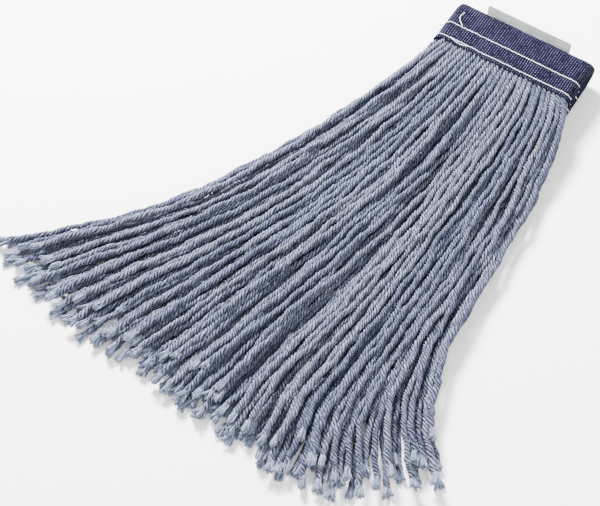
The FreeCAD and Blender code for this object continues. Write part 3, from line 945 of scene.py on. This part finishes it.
def wrinkles(u, v):
    """How far the cover lies below its flat shape."""
    flap_y = FOLD_SPAN - np.abs(v)
    sink = 0.00030 + 0.00016 * np.sin(u * 118 + 2.1 * np.sin(v * 60)) * np.sin(v * 95 + 1.0)
    sink += 0.00010 * np.sin(u * 310 + v * 120 + 1.3) + 0.00008 * np.sin(u * 655 - v * 90)
    for number, row in enumerate(ROWS):
        off_row = flap_y - row - 0.0003 * np.sin(u * 90 + 2 * number)
        tight = 0.72 + 0.28 * np.cos(2 * math.pi * u / STITCH_PITCH)
        sink += PUCKER * tight * np.exp(-((off_row / PUCKER_REACH) ** 2))
        rays = np.cos(2 * math.pi * u / STITCH_PITCH + math.pi * (off_row > 0))
        sink += RAY * rays * np.exp(-((off_row / RAY_REACH) ** 2))
    hem = np.clip((LOWER_EDGE + HEM - flap_y) / HEM, 0, 1)
    sink += hem**2 * (0.0004 + 0.0005 * np.sin(u * 175 + np.sign(v)) + 0.0003 * np.sin(u * 420 + 2))
    return np.clip(sink, 0.00002, None)


def fold_section(reach, rise, v):
    """The y and z of a place v across the tape, where the fold reaches and the flaps rise so far."""
    turn = np.clip(v / FOLD_SPAN, -1, 1) * math.pi / 2
    flap = np.maximum(np.abs(v) - FOLD_SPAN, 0)
    y = np.where(flap > 0, -flap, reach * np.cos(turn))
    z = np.where(flap > 0, np.sign(v) * rise, rise * np.sin(turn))
    return y, z


def cover_surface(u, v, lift=0.0):
    """A place on the outside of the cover, at u along the band and v across it, raised by lift."""
    round_end = np.clip((np.abs(u) - HALF_STRAIGHT) / END_RADIUS, 0, math.pi / 2)
    away = END_RADIUS - wrinkles(u, v) + lift
    x = np.sign(u) * (np.minimum(np.abs(u), HALF_STRAIGHT) + away * np.sin(round_end))
    rise = MID_HEIGHT + away * np.cos(round_end)
    reach = HALF_THICKNESS + (END_CREST - HALF_THICKNESS) * (1 - np.cos(round_end)) - END_RADIUS + away
    y, z = fold_section(reach, rise, v)
    hem = np.abs(v) >= HALF_WIDTH - 0.002
    y = y + hem * 0.0004 * np.sin(u * 260 + np.sign(v)) * np.sin(u * 71)
    return np.stack([x, np.maximum(y, LOWER_EDGE - 0.0006), z], axis=-1)


def lining_surface(u, v):
    """A place on the inside of the lining, at u along the band and v across it."""
    turn = np.clip((HALF_LENGTH - np.abs(u)) / END_RADIUS, 0, math.pi / 2)
    round_end = HALF_STRAIGHT + END_RADIUS * np.cos(turn)
    x = np.sign(u) * np.where(np.abs(u) > HALF_STRAIGHT, round_end, np.abs(u))
    low = MID_HEIGHT - END_RADIUS * np.sin(turn) + 0.0001
    reach = END_CREST + (CHANNEL_RADIUS - END_CREST) * np.sin(turn)
    flap = np.maximum(np.abs(v) - FOLD_SPAN, 0)
    channel = np.sqrt(np.maximum(CHANNEL_RADIUS**2 - flap**2, 0))
    y, z = fold_section(reach, np.maximum(low, channel), v)
    return np.stack([x, y, z], axis=-1)


def thickened(outer, thickness):
    """The other face of a sheet."""
    normal = np.cross(np.gradient(outer, axis=1), np.gradient(outer, axis=0))
    normal /= np.linalg.norm(normal, axis=2, keepdims=True)
    return outer + normal * thickness


def tape_sheet(name, surface, step, inward, material):
    """One tape of the headband, over the fold from one half's lower edge to the other's."""
    u = np.linspace(-HALF_LENGTH, HALF_LENGTH, int(2 * HALF_LENGTH / step))
    v = np.linspace(-HALF_WIDTH, HALF_WIDTH, int(2 * HALF_WIDTH / step))
    u, v = np.meshgrid(u, v)
    outer = surface(u, v)
    inner = thickened(outer, inward * TAPE_THICKNESS * 0.9)
    maker = MeshMaker()
    maker.slab(outer, inner, (0, 0, 0), np.stack([u, v, 0 * u], axis=-1))
    obj = maker.build(name, material)
    obj.data.set_sharp_from_angle(angle=SHARP)
    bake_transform(obj)
    return obj


cover = tape_sheet("cover_tape", cover_surface, COVER_STEP, 1, COVER)
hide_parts("front_cover_tape", "back_cover_tape")
lining = tape_sheet("lining_tape", lining_surface, LINING_STEP, -1, LINING)
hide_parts("front_lining_tape", "back_lining_tape")


def stitch_row(maker, row, side, random):
    """A row of separate stitches on the cover, on the front (side 1) or back (side -1) half."""
    end = HALF_STRAIGHT + END_RADIUS * STITCHED_TURN
    count = int(2 * end / STITCH_PITCH)
    pitch = 2 * end / count
    for number in range(count):
        first = -end + number * pitch
        slips = random.normal(0, STITCH_SLIP, 2)
        at = np.linspace(0.015, 0.985, 13)  # short of both holes
        u = first + at * pitch
        y = row + slips[0] + (slips[1] - slips[0]) * at
        dip = np.abs(2 * at - 1) ** 6
        v = side * (FOLD_SPAN - y)
        line = cover_surface(u, v, STITCH_RISE - STITCH_DIVE * dip)
        round_tube(maker, line, THREAD_RADIUS, 8, (0, 0, 0), spin=at * 9, offset=first)


def loose_thread(maker, points):
    """A thread end that lies loose, along a smooth line."""
    path = evenly(nurbs_path(points), LOOSE_STEP)
    run = np.arange(len(path)) * LOOSE_STEP
    round_tube(maker, path, LOOSE_RADIUS, 8, (0, 0, 0), spin=run * 1500)


for half, side in SIDES:
    random = np.random.default_rng(STITCH_SEEDS[half])
    maker = MeshMaker()
    for row in ROWS:
        stitch_row(maker, row, side, random)
    if half == "front":
        lower, upper = ROWS
        top = HALF_THICKNESS + 0.0002
        slack_stitch = [
            (-0.063, lower, top - 0.0008),
            (-0.058, lower - 0.0018, top + 0.0001),
            (-0.052, lower - 0.0034, top),
            (-0.046, lower - 0.0028, top + 0.0001),
            (-0.041, lower, top - 0.0008),
        ]
        row_end = [
            (-0.0785, upper, 0.0145),
            (-0.0805, upper + 0.0006, 0.0152),
            (-0.0835, upper + 0.0016, 0.0150),
            (-0.0850, upper + 0.0019, 0.0146),
        ]
        loose_thread(maker, slack_stitch)
        loose_thread(maker, row_end)
    obj = maker.build(f"{half}_stitches", THREAD)
    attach(obj, f"{half}_band")
    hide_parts(f"{half}_upper_needle_thread", f"{half}_lower_needle_thread")

maker = MeshMaker()
tail_height = HALF_THICKNESS + 0.00038
tail = ((-0.060, -0.0194), (-0.0645, -0.0162), (-0.0676, -0.0120), (-0.0686, -0.0074), (-0.0668, -0.0030))
loose_thread(maker, [(x, y, tail_height) for x, y in tail])
obj = maker.build("loose_thread", THREAD)
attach(obj, "front_band")
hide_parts("loose_thread_tail")


def fray(half, side, random):
    """Ravelled threads along a half's cut lower edge."""
    maker = MeshMaker()
    for _ in range(FRAY_THREADS):
        u = random.uniform(-HALF_STRAIGHT - 0.008, HALF_STRAIGHT + 0.008)
        v = side * (HALF_WIDTH - 0.0004)
        begin = cover_surface(np.array(u), np.array(v), -0.0006)
        sweep = random.normal(0, FRAY_SWEEP)
        drop = abs(random.normal(0, FRAY_DROP)) + FRAY_DROP / 2
        lift = side * random.uniform(*FRAY_LIFT)
        points = [
            begin + (0, 0.0012, 0),
            begin + (0.25 * sweep, -0.4 * drop, 0.3 * lift),
            begin + (0.7 * sweep, -0.9 * drop, lift),
            begin + (1.2 * sweep, -1.05 * drop, 0.6 * lift),
        ]
        path = evenly(nurbs_path(points), LOOSE_STEP)
        thick = random.uniform(*FRAY_RADIUS)
        round_tube(maker, path, thick, 5, (0, 0, 0), offset=random.uniform(0, 9))
    obj = maker.build(f"{half}_cover_fray", COVER)
    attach(obj, f"{half}_band")
    return obj


frays = [fray(half, side, np.random.default_rng(FRAY_SEED + side)) for half, side in SIDES]

for half in ("front", "back"):
    maker = MeshMaker()
    for index, (strand_half, rank) in enumerate(STRANDS):
        if strand_half == half:
            x, _, z = routes[index][0]
            x = min(max(x, -end_limit(z)), end_limit(z))
            random = np.random.default_rng(PACKED_SEED + index)
            at = np.linspace(0, 1, 24)[:, None]
            path = np.array((x, LOWER_EDGE + 0.004, z)) + at * (0, -LOWER_EDGE - 0.010, 0)
            # The fixed groove value paints an even shade over each strand inside the band.
            shade = (random.uniform(0, 1), 0.2, 0.0)
            round_tube(maker, path, PACKED_RADIUS, 10, shade, offset=random.uniform(0, PATTERN_SPAN))
    obj = maker.build(f"yarn_in_{half}_half", YARN)
    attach(obj, f"{half}_band")
    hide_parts(f"{half}_yarn_in_band")

# ---- The frame's own pieces ----


def finish_node(name, material):
    """Gives one of the frame's solids its material."""
    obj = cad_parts[name]
    obj.data.materials.clear()
    obj.data.materials.append(material)


finish_node("plastic_fold_strip", STRIP)
for half in ("front", "back"):
    for row in ("upper", "lower"):
        finish_node(f"{half}_{row}_bobbin_thread", PLAIN_THREAD)

# ---- Floor and light ----

FLOOR_REACH = 6.0
CORNERS = ((-1, -1), (1, -1), (1, 1), (-1, 1))
YARN_MIDDLE = Vector((-0.05, -0.25, 0.0))


def make_floor():
    """A plain pale floor."""
    mesh = bpy.data.meshes.new("floor")
    corners = [(x * FLOOR_REACH, y * FLOOR_REACH, FLOOR) for x, y in CORNERS]
    mesh.from_pydata(corners, [], [(0, 1, 2, 3)])
    look = Look("floor", Roughness=0.8, Base_Color=(0.92, 0.92, 0.925, 1))
    mesh.materials.append(look.material)
    add_object("floor", mesh)


def make_light(name, place, size, power):
    """A square soft light that points at the middle of the yarn."""
    data = bpy.data.lights.new(name, "AREA")
    data.shape = "SQUARE"
    data.size = size
    data.energy = power
    add_object(name, data, place, YARN_MIDDLE - Vector(place))


def make_world():
    """A bright even surround."""
    world = bpy.data.worlds.new("surround")
    world.use_nodes = True
    background = world.node_tree.nodes["Background"]
    background.inputs["Color"].default_value = (1.0, 1.0, 1.0, 1)
    background.inputs["Strength"].default_value = 1.7
    bpy.context.scene.world = world


make_floor()
make_world()
make_light("key", (-1.1, 0.55, 1.25), 0.5, 300.0)
make_light("fill", (1.2, -1.2, 1.3), 1.4, 30.0)
